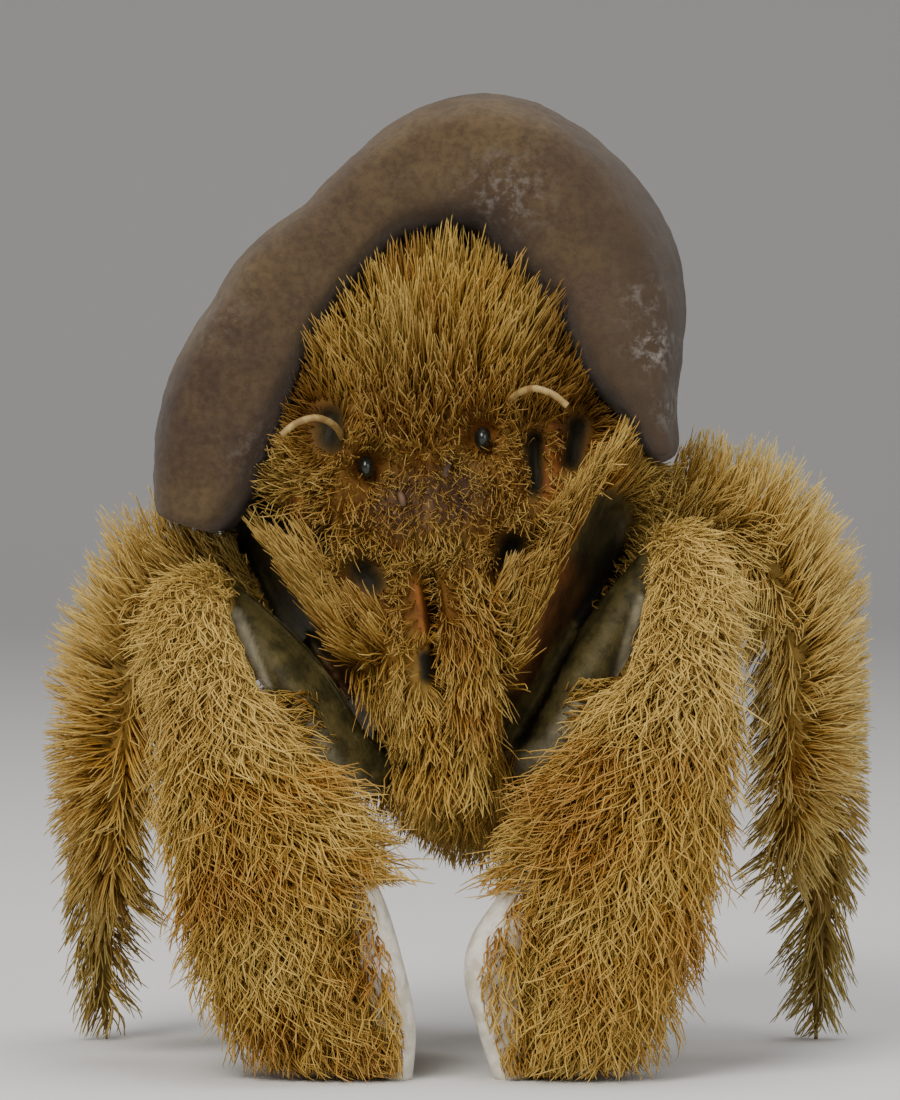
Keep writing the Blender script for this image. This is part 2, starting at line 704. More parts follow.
# Guides on the front of the body: across, up, then the way the hairs point, their length, curl and density
FRONT_GUIDES = (
    (-2.0, 92.0, 0.0, -0.3, 1.0, 11.0, 0.08, 0.75),
    (-11.0, 90.0, -0.4, -0.3, 1.0, 10.0, 0.10, 0.75),
    (7.5, 90.0, 0.45, -0.3, 1.0, 10.0, 0.10, 0.75),
    (-18.0, 83.0, -0.55, -0.3, 0.9, 6.0, 0.3, 1.0),
    (14.0, 83.0, 0.5, -0.3, 0.9, 6.5, 0.2, 1.0),
    (-3.5, 82.0, -0.05, -0.35, 1.0, 10.5, 0.08, 0.75),
    (-12.0, 80.0, -0.45, -0.35, 0.9, 8.0, 0.25, 1.0),
    (7.0, 83.0, 0.45, -0.35, 1.0, 9.0, 0.12, 1.0),
    (-20.0, 74.0, -0.7, -0.35, 0.6, 4.5, 0.5, 1.0),
    (14.0, 76.0, 0.6, -0.35, 0.7, 4.5, 0.5, 1.0),
    (-3.0, 76.0, 0.0, -0.5, 0.8, 6.0, 0.4, 1.0),
    (-9.8, 74.5, -0.15, -0.6, 0.8, 5.0, 0.4, 1.2),
    (3.8, 78.0, 0.15, -0.6, 0.8, 5.0, 0.4, 1.2),
    (-9.8, 67.5, -0.1, -0.7, -0.5, 3.2, 0.9, 0.9),
    (3.8, 70.5, 0.1, -0.7, -0.5, 3.2, 0.9, 0.9),
    (-3.0, 69.0, 0.0, -0.8, -0.4, 2.8, 1.0, 0.6),
    (-3.0, 62.0, 0.0, -0.6, -0.9, 3.0, 0.9, 0.8),
    (-14.5, 66.0, -0.5, -0.5, -0.3, 4.0, 0.9, 0.9),
    (9.5, 68.0, 0.5, -0.5, -0.3, 4.0, 0.9, 0.9),
    (-14.0, 58.6, -0.1, -0.6, -0.8, 4.5, 0.9, 1.0),
    (10.5, 64.6, 0.2, -0.6, -0.6, 4.5, 0.9, 1.0),
    (-8.0, 56.0, 0.45, -0.3, -1.0, 5.0, 0.35, 1.0),
    (5.0, 57.0, 0.35, -0.3, -1.0, 5.5, 0.35, 1.0),
    (-6.0, 46.0, 0.4, -0.3, -1.0, 5.5, 0.45, 0.9),
    (3.5, 46.0, -0.1, -0.3, -1.0, 5.5, 0.45, 0.9),
    (-1.0, 38.0, 0.0, -0.4, -1.0, 4.5, 0.6, 0.9),
    (-1.5, 30.0, 0.0, -0.5, -0.9, 4.0, 0.6, 0.7),
)


def guide_flow(view):
    """Blend the guides near each spot of the front."""
    guides = np.array(FRONT_GUIDES)
    gap = np.linalg.norm(view[:, None] - guides[None, :, :2], axis=2)
    weight = 1.0 / (gap + 0.6) ** 3
    weight /= weight.sum(1, keepdims=True)
    return weight @ guides[:, 2:]


# How a walking leg's coat turns from down at the foot to up and out: heights, then degrees above the level
LEG_AIM = (
    (8.0, 20.0, 27.0, 34.0, 41.0, 50.0, 60.0, 70.0),
    (-84.0, -80.0, -66.0, -25.0, 18.0, 50.0, 66.0, 76.0),
)
# Heights, then the length of a walking leg's hairs there
LEG_LENGTH = ((0.0, 12.0, 30.0, 45.0, 60.0), (5.0, 7.5, 6.0, 7.0, 8.5))
# The chin's coat: its top, its middle, its half width and its length
CHIN_TOP = 38.0
CHIN_MIDDLE = -2.0
CHIN_HALF = 13.0
CHIN_LENGTH = 7.5


def claw_flow(side, spot, height, along, outward):
    """The coat of a claw: short and hanging on the arm, long and combed towards the tips on the hand."""
    hand = smoothstep(4.6, 5.4, spot)
    top = smoothstep(4.4, 3.6, spot)
    tip = smoothstep(9.5, 11, spot)
    inward = smoothstep(0.2, 0.8, -outward[:, 0] * side)
    beside = inward * smoothstep(26.0, 22.0, height)
    bridge = inward * smoothstep(21.0, 25.0, height) * smoothstep(39.0, 35.0, height)
    arm_way = along * 0.5 + outward * 0.25 + DOWN * 0.35 + np.array((side * 0.35, 0.0, 0.0))
    lie = mix(arm_way, along + outward * 0.15, hand[:, None])
    lie = lie + beside[:, None] * np.array((side * 0.4, 0.0, 0.0))
    lie = lie + bridge[:, None] * np.array((-side * 0.8, 0.0, -0.2))
    length = mix(5.2, 8.0, hand) * mix(1.0, 0.72, tip) * mix(1, 0.62, top) * mix(1.0, 0.62, beside)
    length = mix(length, 8.5, bridge)
    outer = outward[:, 0] * side * 0.8 - outward[:, 2] * 0.6
    bare = smoothstep(-0.55, -0.25, outer) * smoothstep(1.2, 1.8, spot)
    density = np.where(spot < 3.1, bare * 1.3, mix(1.0, 1.3, top))
    return lie, length, mix(0.08, 0.25, hand), mix(0.9, 0.75, hand), density, 0.28


def leg_flow(side, spot, height, along, outward):
    """The coat of a walking leg: down at the foot, up and out higher up, and combed along the inner side."""
    aim = np.radians(np.interp(height, *LEG_AIM))
    comb = np.stack((side * np.cos(aim), np.full(len(aim), -0.12), np.sin(aim)), axis=1)
    inner = smoothstep(0.0, -0.6, outward[:, 0] * side)[:, None]
    lie = mix(comb + outward * 0.2, along * 0.75 + outward * 0.5, inner)
    density = np.where(spot < 0.6, 0.3, 1.0)
    return lie, np.interp(height, *LEG_LENGTH), 0.12, 0.22, density, 0.85


def limb_flow(name, points, spot):
    """What coat_flow gives, for roots on one limb. The hind legs' coat is short."""
    rows, along, _, _ = tube_frames(LIMBS[name], spot)
    outward = unit(points - rows[:, :3])
    outward = unit(outward - along * (outward * along).sum(1, keepdims=True))
    side = -1.0 if name.endswith("right") else 1.0
    if name.startswith("cheliped"):
        return claw_flow(side, spot, points[:, 2], along, outward)
    if name.startswith(("leg2", "leg3")):
        return leg_flow(side, spot, points[:, 2], along, outward)
    return along * 0.9 + outward * 0.3, 3.4, 0.25, 0.5, 0.7, 0.35


def coat_flow(points, normals, which, where):
    """For each root: the way its hair points, its length, stand, curl, density, and pull to its tuft."""
    count = len(points)
    lie = np.zeros((count, 3))
    length = np.full(count, 6.0)
    stand = np.full(count, 0.3)
    curl = np.full(count, 0.5)
    density = np.ones(count)
    clump = np.full(count, 0.35)
    view = points[:, (0, 2)]

    # Body, seen from the front
    front = guide_flow(view)
    body = which < 0
    forward = smoothstep(0.0, 0.35, -normals[:, 1]) * smoothstep(-2.0, -9.0, points[:, 1])
    rear = np.stack((points[:, 0] * 0.01, np.full(count, 0.75), np.full(count, -0.65)), axis=1)
    lie[body] = mix(rear, front[:, :3], forward[:, None])[body]
    length[body] = mix(6.5, front[:, 3], forward)[body]
    curl[body] = mix(0.5, front[:, 4], forward)[body]
    density[body] = mix(0.8, front[:, 5], forward)[body]
    clump[body] = mix(0.4, mix(0.75, 0.3, np.clip(front[:, 4] / 0.6, 0, 1)), forward)[body]

    # The two fringes that make a V below the cheeks
    for a, b, radius, _, way, reach in FRINGES:
        away, along = segment_distance(view, a, b)
        share = body * (forward > 0.15) * smoothstep(radius * 1.7, radius * 0.8, away)
        lie = mix(lie, np.array((way[0], -0.2, way[1])), share[:, None])
        length = mix(length, reach * mix(0.85, 1.1, along), share)
        curl = mix(curl, 0.16, share)
        stand = mix(stand, 0.08, share)
        density = mix(density, 1.35, share)
        clump = mix(clump, 0.5, share)

    # Smooth grooves, walls, hollows and eyes stay bare, and the middle of the face thin
    facing = forward > 0.1
    for strokes, part, area in (
        (GROOVES, 0.9, points[:, 1] < GROOVE_BACK), (HOLLOWS, 0.95, facing), (EYE_HOLLOWS, 0.55, facing),
    ):
        for a, b, radius, _ in strokes:
            density[body & area & (segment_distance(view, a, b)[0] < radius * part)] = 0.0
    for a, b, radius in WALLS:
        close = body & (segment_distance(view, a, b)[0] < radius)
        density[close] *= 0.7
        length[close] = 2.2
        stand[close] = 0.05
        lie[close] = np.array((0.1, -0.1, -1.0))
    # Round the dark openings the hairs are short and point away, so the openings show
    for a, b, radius in OPENINGS:
        away, along = segment_distance(view, a, b)
        near = body * facing * smoothstep(radius + 3.2, radius + 0.4, away)
        push = view - (np.array(a) + (np.array(b) - np.array(a)) * along[:, None])
        push = unit(np.stack((push[:, 0], np.full(count, -0.4), push[:, 1]), axis=1))
        lie = mix(lie, push, 0.75 * near[:, None])
        length = mix(length, 2.6, 0.7 * near)
        density = density * (away > radius * 0.85)
    centre = body * stroke_share(view, *FACE_MIDDLE, 4)
    length = mix(length, 2.0, centre)
    curl = mix(curl, 1.2, centre)
    density = density * (1 + 0.15 * centre)
    density = density * (1 - 0.9 * body * stroke_share(view, *MOUTH_SLIT, 0.6))
    # The chin hangs down between the claws, and further out the underside is bare
    chin = body & (points[:, 2] < CHIN_TOP) & (points[:, 1] < 0)
    apart = points[:, 0] - CHIN_MIDDLE
    lie[chin] = np.stack((-0.02 * apart, np.full(count, -0.3), np.full(count, -1.0)), axis=1)[chin]
    length[chin] = CHIN_LENGTH
    density[chin & (np.abs(apart) > CHIN_HALF)] = 0.0

    flow = (lie, length, stand, curl, density, clump)
    for n, name in enumerate(LIMB_NAMES):
        own = which == n
        if own.any():
            for values, new in zip(flow, limb_flow(name, points[own], where[own])):
                values[own] = new
    return unit(lie), length, stand, curl, density, clump


# Roots of the hairs

def triangle_arrays(made):
    made.data.calc_loop_triangles()
    count = len(made.data.loop_triangles)
    corners = np.zeros(count * 3, np.int32)
    made.data.loop_triangles.foreach_get("vertices", corners)
    return corners.reshape(-1, 3)


# First station of a claw whose height a finger shares
PALM_START = 5


def finger_roots(fingers):
    """Places on the palm side of each finger, where the coat of the palm hides all but its inner edge."""
    found = []
    for n, (name, stations) in enumerate((("right", FINGER_RIGHT), ("left", FINGER_LEFT))):
        finger = fingers[name]
        points = mesh_points(finger)
        middle, half = finger_line(stations, points[:, 2])
        inward = (points[:, 0] - middle) / half * (1 if name == "right" else -1)
        cover = 1.0 - smoothstep(0.60, 0.72, inward)
        got = scatter(finger, np.full(len(points), n), np.zeros(len(points)), cover, FINGER_HAIRS)
        palm = np.asarray(LIMBS["cheliped_" + name])[PALM_START:]
        own = np.interp(-got[0][:, 2], -palm[:, 2], PALM_START + np.arange(len(palm)))
        found.append((*got[:3], own))
    return tuple(np.concatenate(part) for part in zip(*found))


def scatter(skin, which, where, density, number):
    """Random places on the skin, more where the coat is denser."""
    points, normals = mesh_points(skin), mesh_normals(skin)
    corners = triangle_arrays(skin)
    a, b, c = (points[corners[:, k]] for k in range(3))
    area = np.linalg.norm(np.cross(b - a, c - a), axis=1) / 2
    weight = area * density[corners].mean(1)
    weight[weight < 0] = 0
    pick = RNG.choice(len(corners), number, p=weight / weight.sum())
    r1, r2 = np.sqrt(RNG.random(number)), RNG.random(number)
    share = np.stack((1 - r1, r1 * (1 - r2), r1 * r2), axis=1)[..., None]
    spots = (points[corners[pick]] * share).sum(1)
    facing = unit((normals[corners[pick]] * share).sum(1))
    return spots, facing, which[corners[pick, 0]], where[corners[pick, 0]]


# Hairs

PATH_POINTS = 8
HAIR_SIDES = 3
# Rings and tip of a long hair and of one shorter than SHORT_LENGTH
LONG_HAIR = 6
SHORT_HAIR = 4
SHORT_LENGTH = 4.4
# Share of a hair's length at which its last ring lies
BLUNT = 0.93
TUFT_HAIRS = 11
# Size of a hair's patch on the unwrap
PATCH_SIZE = 0.003


def hair_paths(roots, normals, lie, length, stand, curl, clump, seed):
    """Centre lines that stand up a little, bend over along the lie, wave, and gather in tufts."""
    rng = np.random.default_rng(seed)
    count = len(roots)
    lie = unit(lie + normals * (0.12 - np.minimum((lie * normals).sum(1), 0.12))[:, None])
    lift = (0.3 + 0.8 * np.clip(curl, 0, 1))[:, None]
    start = unit(normals * lift + lie)
    spread = rng.normal(0, 1, (count, 3)) * (0.05 + 0.3 * curl)[:, None]
    end = unit(lie + normals * stand[:, None] + spread)
    path = [roots - normals * 0.25]
    step = (length / (PATH_POINTS - 1))[:, None]
    for k in range(PATH_POINTS - 1):
        share = min((k + 0.5) / (PATH_POINTS - 1) * 1.9, 1.0)
        path.append(path[-1] + unit(mix(start, end, share)) * step)
    path = np.stack(path, axis=1)
    side = unit(np.cross(lie, normals) + 1e-4)
    other = unit(np.cross(side, lie))
    wave = rng.uniform(0.4, 1.4, count) * (0.08 + curl)
    turns = rng.uniform(0.3, 1.3, count)
    phase = rng.uniform(0, 2 * math.pi, (count, 2))
    smooth_path = path.copy()
    for k in range(1, PATH_POINTS):
        s = k / (PATH_POINTS - 1)
        reach = wave * s ** 0.8 * length * 0.26
        turn = 2 * math.pi * turns * s
        path[:, k] += side * (reach * (np.sin(turn + phase[:, 0]) - np.sin(phase[:, 0])))[:, None]
        path[:, k] += other * (reach * (np.sin(turn + phase[:, 1]) - np.sin(phase[:, 1])))[:, None] * 0.5
    return gather(path, smooth_path, roots, clump, rng)


def gather(path, smooth_path, roots, clump, rng):
    """Pull each hair's tip towards that of the leader of its tuft."""
    count = len(roots)
    leaders = rng.choice(count, max(count // TUFT_HAIRS, 1), replace=False)
    tree = KDTree(len(leaders))
    for k, leader in enumerate(leaders):
        tree.insert(Vector(roots[leader]), k)
    tree.balance()
    mine = np.array([leaders[tree.find(Vector(root))[1]] for root in roots])
    pull = rng.uniform(0.0, 1.0, count) * clump
    for k in range(1, PATH_POINTS):
        s = k / (PATH_POINTS - 1)
        share = (pull * s ** 1.3)[:, None]
        target = smooth_path[mine, k] + (roots - roots[mine]) * 0.12
        path[:, k] = mix(path[:, k], target, share)
    return path


def resample(path, share, steps):
    """Each path cut back to a share of its length, with its last ring close to the tip."""
    count, old = path.shape[:2]
    at = hair_spots(steps)[None, :] * share[:, None] * (old - 1)
    i = np.minimum(at.astype(int), old - 2)
    t = (at - i)[..., None]
    rows = np.arange(count)[:, None]
    return path[rows, i] * (1 - t) + path[rows, i + 1] * t


def sponge_clear(path, tree):
    """The share of each path that stays outside the sponge."""
    count, steps = path.shape[:2]
    share = np.ones(count)
    for n in range(count):
        for k in range(1, steps):
            spot = Vector(path[n, k])
            found, normal, _, gap = tree.find_nearest(spot, 12.0)
            if found is None:
                continue
            if (spot - found).dot(normal) < 0 or gap < SPONGE_CLEARANCE:
                share[n] = max((k - 1) / (steps - 1), 0.0)
                break
    return share


def hair_spots(steps):
    """Where the rings and the tip of a hair lie, as shares of its length."""
    return np.append(np.linspace(0, BLUNT, steps - 1), 1.0)


def hair_mesh(name, path, normals, width, uv_place, tint, shade, leg):
    """Closed tapering tubes of three sides with the attributes that their material reads."""
    count, steps = path.shape[:2]
    along = np.zeros_like(path)
    along[:, 1:-1] = path[:, 2:] - path[:, :-2]
    along[:, 0] = path[:, 1] - path[:, 0]
    along[:, -1] = path[:, -1] - path[:, -2]
    along = unit(along)
    across = unit(np.cross(along, normals[:, None, :]) + 1e-5)
    other = unit(np.cross(across, along))
    s = hair_spots(steps)
    profile = 1.0 - 0.5 * s ** 3
    rings = steps - 1
    radius = width[:, None] / 2 * profile[None, :rings]
    angle = circle(HAIR_SIDES)
    ring = (
        path[:, :rings, None]
        + across[:, :rings, None] * (np.cos(angle) * radius[..., None])[..., None]
        + other[:, :rings, None] * (np.sin(angle) * radius[..., None])[..., None]
    )
    per = rings * HAIR_SIDES + 1
    points = np.concatenate((ring.reshape(count, -1, 3), path[:, -1:]), axis=1)
    base = (np.arange(count) * per)[:, None, None]
    k, n = np.meshgrid(np.arange(rings - 1), np.arange(HAIR_SIDES), indexing="ij")
    after = (n + 1) % HAIR_SIDES
    low, high = k * HAIR_SIDES, (k + 1) * HAIR_SIDES
    quad = np.stack((low + n, low + after, high + after, high + n), axis=-1)
    quads = (base + quad.reshape(1, -1, 4)).reshape(-1, 4)
    top = (rings - 1) * HAIR_SIDES
    cap = [(top + m, top + (m + 1) % HAIR_SIDES, per - 1) for m in range(HAIR_SIDES)] + [(2, 1, 0)]
    triangles = (base + np.array(cap)[None]).reshape(-1, 3)
    made = make_mesh(name, points.reshape(-1, 3), quads, triangles)
    rise = np.concatenate((np.repeat(s[:rings], HAIR_SIDES), [1.0]))
    add_values(made, "rise", np.tile(rise, count))
    add_values(made, "tint", np.repeat(tint, per))
    add_values(made, "shade", np.repeat(shade, per))
    add_values(made, "leg", np.full(count * per, float(leg)))
    add_values(made, "root", np.repeat(path[:, 0], per, axis=0))
    patch = np.stack((
        np.concatenate((np.tile(np.arange(HAIR_SIDES) / (HAIR_SIDES - 1), rings), [0.5])),
        rise,
    ), axis=1) - 0.5
    vertex_uv = (uv_place[:, None] + patch[None] * PATCH_SIZE).reshape(-1, 2)
    layer = made.data.uv_layers.new(name="OFBake")
    corner_points = np.zeros(len(made.data.loops), np.int32)
    made.data.loops.foreach_get("vertex_index", corner_points)
    layer.uv.foreach_set("vector", vertex_uv[corner_points].astype(np.float32).reshape(-1))
    return made


# Where the front of the body ends, before its turn
FRONT_END = -12.0
# Places on the unwrap: left, bottom, width and height of each form's own rectangle
UNWRAP = {
    "front": (0.01, 0.51, 0.48, 0.48),
    "back": (0.51, 0.51, 0.30, 0.48),
    "cheliped_right": (0.01, 0.01, 0.23, 0.48),
    "cheliped_left": (0.26, 0.01, 0.23, 0.48),
    "leg2_right": (0.51, 0.01, 0.11, 0.48),
    "leg2_left": (0.63, 0.01, 0.11, 0.48),
    "leg3_right": (0.75, 0.01, 0.11, 0.48),
    "leg3_left": (0.87, 0.01, 0.11, 0.48),
    "leg4_right": (0.82, 0.51, 0.08, 0.22),
    "leg4_left": (0.82, 0.75, 0.08, 0.22),
    "leg5_right": (0.91, 0.51, 0.08, 0.22),
    "leg5_left": (0.91, 0.75, 0.08, 0.22),
}


def unwrap(points, which, where):
    """Where each root lies on an unwrap: round and along each limb, and round and along the body."""
    uv = np.zeros((len(points), 2))
    own = unturned(points)
    round_body = np.arctan2(own[:, 0], own[:, 2] - 60.0) / (2 * math.pi) + 0.5
    for key, part in (("front", own[:, 1] < FRONT_END), ("back", own[:, 1] >= FRONT_END)):
        left, bottom, width, height = UNWRAP[key]
        mine = part & (which < 0)
        if key == "front":
            spot = np.stack((own[:, 0] / 54.0 + 0.5, (own[:, 2] - 26.0) / 72.0), axis=1)
        else:
            spot = np.stack((round_body, (own[:, 1] - FRONT_END) / 50.0), axis=1)
        spot = np.clip(spot, 0, 1)
        uv[mine] = (np.array((left, bottom)) + spot * np.array((width, height)))[mine]
    for n, name in enumerate(LIMB_NAMES):
        mine = which == n
        if not mine.any():
            continue
        left, bottom, width, height = UNWRAP[name]
        stations = LIMBS[name]
        rows, _, wide, deep = tube_frames(stations, where[mine])
        out = points[mine] - rows[:, :3]
        angle = np.arctan2((out * deep).sum(1), (out * wide).sum(1)) / (2 * math.pi) + 0.5
        spot = np.stack((angle, where[mine] / (len(stations) - 1)), axis=1)
        uv[mine] = np.array((left, bottom)) + spot * np.array((width, height))
    return uv


# Materials

UNDER_COAT = (0.060, 0.020, 0.003)
ORANGE_BASE = (0.36, 0.145, 0.013)
GOLD = (0.48, 0.275, 0.042)
STRAW = (0.58, 0.395, 0.095)
PALE_TIP = (0.66, 0.50, 0.17)
LEG_ORANGE = (0.50, 0.255, 0.030)
LEG_OLIVE = (0.64, 0.52, 0.20)
OLIVE_STRAW = (0.28, 0.22, 0.060)
RUSSET = (0.175, 0.060, 0.006)
FACE_BROWN = (0.17, 0.075, 0.008)
CLAW_PALE = (0.62, 0.44, 0.135)
DEEP_SHADE = (0.010, 0.009, 0.005)
SHELL_TONES = (
    (0.25, (0.014, 0.013, 0.005)), (0.42, (0.045, 0.036, 0.011)),
    (0.58, (0.090, 0.070, 0.022)), (0.75, (0.135, 0.110, 0.042)),
)
IVORY_TONES = ((0.3, (0.22, 0.19, 0.12)), (0.55, (0.40, 0.36, 0.24)), (0.75, (0.58, 0.54, 0.40)))
MAUVE_TONES = ((0.3, (0.035, 0.016, 0.009)), (0.5, (0.090, 0.045, 0.022)), (0.7, (0.19, 0.11, 0.038)))
RUST_TONES = ((0.3, (0.085, 0.022, 0.006)), (0.55, (0.24, 0.075, 0.012)), (0.75, (0.36, 0.15, 0.03)))
SPONGE_TONES = (
    (0.30, (0.046, 0.025, 0.014)), (0.45, (0.074, 0.045, 0.020)),
    (0.58, (0.102, 0.066, 0.028)), (0.72, (0.086, 0.050, 0.028)),
)
PORE_TONES = ((0.35, (0.55, 0.5, 0.5)), (0.62, (1.0, 1.0, 1.0)))
SPONGE_LEFT_END = (0.040, 0.024, 0.014)
SPONGE_INNER = (0.026, 0.014, 0.009)
SPONGE_SPECK = (0.27, 0.25, 0.23)
# Pale specks on the front of the cap: x and z, radius, strength
SPONGE_SPECKS = (
    ((24.0, 84.5), 2.6, 1.0),
    ((26.5, 77.5), 2.2, 0.8),
    ((6.5, 103.0), 4.5, 0.5),
    ((-28.0, 88.5), 4.0, 0.25),
    ((22.5, 90.0), 3.0, 0.35),
    ((-22.0, 72.0), 4.0, 0.3),
)
# How far the middle of the dome lies to the crab's right, and where the face's brown is full and ends
DOME_MIDDLE = 3.0
FACE_CENTRE = (-3.0, -27.0, 66.0)
FACE_REACH = (10.0, 28.0)


class Finish:
    """A material in the making, with one short call for each kind of node."""

    def __init__(self, name):
        self.material = bpy.data.materials.new(name)
        self.material.use_nodes = True
        self.nodes = self.material.node_tree.nodes

    def put(self, socket, value):
        """Give a socket a number, a colour, a vector or what another node gives."""
        if isinstance(value, bpy.types.NodeSocket):
            self.material.node_tree.links.new(value, socket)
        elif isinstance(value, tuple) and len(socket.default_value) == 4:
            socket.default_value = (*value, 1.0)
        else:
            socket.default_value = value

    def node(self, kind, inputs, **settings):
        """Add a node with its settings and inputs, and return what it gives."""
        made = self.nodes.new("ShaderNode" + kind)
        for name, value in settings.items():
            setattr(made, name, value)
        for name, value in inputs.items():
            self.put(made.inputs[name], value)
        return made.outputs

    def shade(self, inputs):
        """Set sockets of the shader, by name."""
        for name, value in inputs.items():
            self.put(self.nodes["Principled BSDF"].inputs[name], value)

    @cached_property
    def spot(self):
        """Each point's own place, which for a hair is its root's."""
        return self.node("Attribute", {}, attribute_name="root")["Vector"]

    def value(self, name):
        """A number that the mesh carries."""
        return self.node("Attribute", {}, attribute_name=name)["Fac"]

    def axis(self, letter):
        """One coordinate of the place."""
        return self.node("SeparateXYZ", {0: self.spot})[letter]

    def noise(self, scale, detail=4.0, roughness=0.55):
        inputs = {"Vector": self.spot, "Scale": scale, "Detail": detail, "Roughness": roughness}
        return self.node("TexNoise", inputs)["Fac"]

    def ramp(self, value, stops):
        """A colour for each value, from positions with their colours."""
        made = self.nodes.new("ShaderNodeValToRGB")
        made.color_ramp.interpolation = "EASE"
        elements = made.color_ramp.elements
        while len(elements) < len(stops):
            elements.new(0.5)
        for element, (position, colour) in zip(elements, stops):
            element.position = position
            element.color = (*colour, 1.0)
        self.put(made.inputs["Fac"], value)
        return made.outputs[0]

    def mix(self, factor, a, b, kind="MIX"):
        return self.node("Mix", {0: factor, 6: a, 7: b}, data_type="RGBA", blend_type=kind)[2]

    def ease(self, value, low, high, top=1.0, bottom=0.0, kind="SMOOTHSTEP"):
        """A number that goes from bottom to top as the value goes from low to high."""
        inputs = {"Value": value, "From Min": low, "From Max": high, "To Min": bottom, "To Max": top}
        return self.node("MapRange", inputs, interpolation_type=kind)[0]

    def maths(self, kind, *numbers):
        return self.node("Math", dict(enumerate(numbers)), operation=kind)[0]

    def bump(self, height, strength, depth):
        """Small relief, its depth in millimetres."""
        inputs = {"Height": height, "Strength": strength, "Distance": depth * MM}
        self.shade({"Normal": self.node("Bump", inputs)["Normal"]})


def claw_top(finish):
    """How far a place lies on the pale tops of the claws."""
    out = finish.ease(finish.maths("ABSOLUTE", finish.axis("X")), 17.0, 22.0)
    return finish.maths("MULTIPLY", out, finish.ease(finish.axis("Z"), 36.0, 48.0, 0.85))


def dome_side(finish):
    """How far a place lies to the sides of the dome, under the rim of the cap."""
    off = finish.maths("ABSOLUTE", finish.maths("ADD", finish.axis("X"), DOME_MIDDLE))
    high = finish.ease(finish.axis("Z"), 70.0, 77.0, 0.9)
    return finish.maths("MULTIPLY", finish.ease(off, 8.0, 14.0), high)


def markings(finish):
    """The patches of colour that skin and coat share: golden, straw, russet, and olive low on the legs."""
    patch = finish.ramp(finish.noise(0.14, 3.0), ((0.40, ORANGE_BASE), (0.51, GOLD), (0.66, STRAW)))
    low = finish.ease(finish.axis("Z"), 34.0, 10.0, 0.8)
    out = finish.ease(finish.maths("ABSOLUTE", finish.axis("X")), 31.0, 38.0)
    colour = finish.mix(finish.maths("MULTIPLY", low, out), patch, OLIVE_STRAW)
    colour = finish.mix(claw_top(finish), colour, STRAW)
    away = finish.node("VectorMath", {0: finish.spot, 1: FACE_CENTRE}, operation="DISTANCE")["Value"]
    colour = finish.mix(finish.ease(away, FACE_REACH[1], FACE_REACH[0], 0.75), colour, FACE_BROWN)
    return finish.mix(dome_side(finish), colour, FACE_BROWN)


def coat_material():
    """Hairs that go from a russet root to a pale tip. Low on the legs they turn to olive straw."""
    finish = Finish("coat")
    rise, tint, shade, leg = (finish.value(name) for name in ("rise", "tint", "shade", "leg"))
    patch = markings(finish)
    low_leg = finish.maths("MULTIPLY", leg, finish.ease(finish.axis("Z"), 38.0, 16.0, 0.75))
    ground = finish.mix(low_leg, finish.mix(leg, patch, LEG_ORANGE), OLIVE_STRAW)
    pale = finish.mix(tint, ground, finish.mix(0.6, patch, STRAW))
    rooted = finish.mix(finish.ease(rise, 0.0, 0.45), finish.mix(0.38, RUSSET, patch), pale)
    leg_end = finish.mix(low_leg, finish.mix(0.7, patch, LEG_OLIVE), OLIVE_STRAW)
    end = finish.mix(leg, finish.mix(0.5, patch, PALE_TIP), leg_end)
    tipped = finish.mix(finish.ease(rise, 0.4, 1.0, 0.75), rooted, end)
    colour = finish.mix(shade, tipped, finish.mix(0.55, patch, RUSSET))
    leg_tipped = finish.mix(finish.ease(rise, 0.2, 0.85, 0.9), rooted, leg_end)
    left_leg = finish.maths("MULTIPLY", leg, finish.ease(finish.axis("X"), 28.0, 36.0, 0.85))
    colour = finish.mix(left_leg, colour, leg_tipped)
    colour = finish.mix(finish.maths("MULTIPLY", claw_top(finish), 0.45), colour, CLAW_PALE)
    colour = finish.mix(finish.maths("MULTIPLY", dome_side(finish), 0.85), colour, FACE_BROWN)
    finish.shade({"Base Color": colour, "Roughness": 0.6, "Specular IOR Level": 0.2})
    return finish.material


def skin_material():
    finish = Finish("skin")
    fine = finish.noise(0.35, 6.0, 0.6)
    bare = finish.value("bare")
    colour = finish.mix(0.55, markings(finish), UNDER_COAT)
    colour = finish.mix(bare, colour, finish.ramp(fine, SHELL_TONES))
    colour = finish.mix(finish.value("flesh"), colour, finish.ramp(fine, MAUVE_TONES))
    colour = finish.mix(finish.value("amber"), colour, finish.ramp(fine, RUST_TONES))
    colour = finish.mix(finish.value("deep"), colour, DEEP_SHADE)
    colour = finish.mix(finish.value("pale"), colour, finish.ramp(fine, IVORY_TONES))
    rough = finish.ease(bare, 0.0, 1.0, 0.58, 0.75, "LINEAR")
    finish.shade({"Base Color": colour, "Roughness": rough, "Specular IOR Level": 0.22})
    finish.bump(finish.noise(1.6, 5.0, 0.6), 0.45, 0.4)
    return finish.material


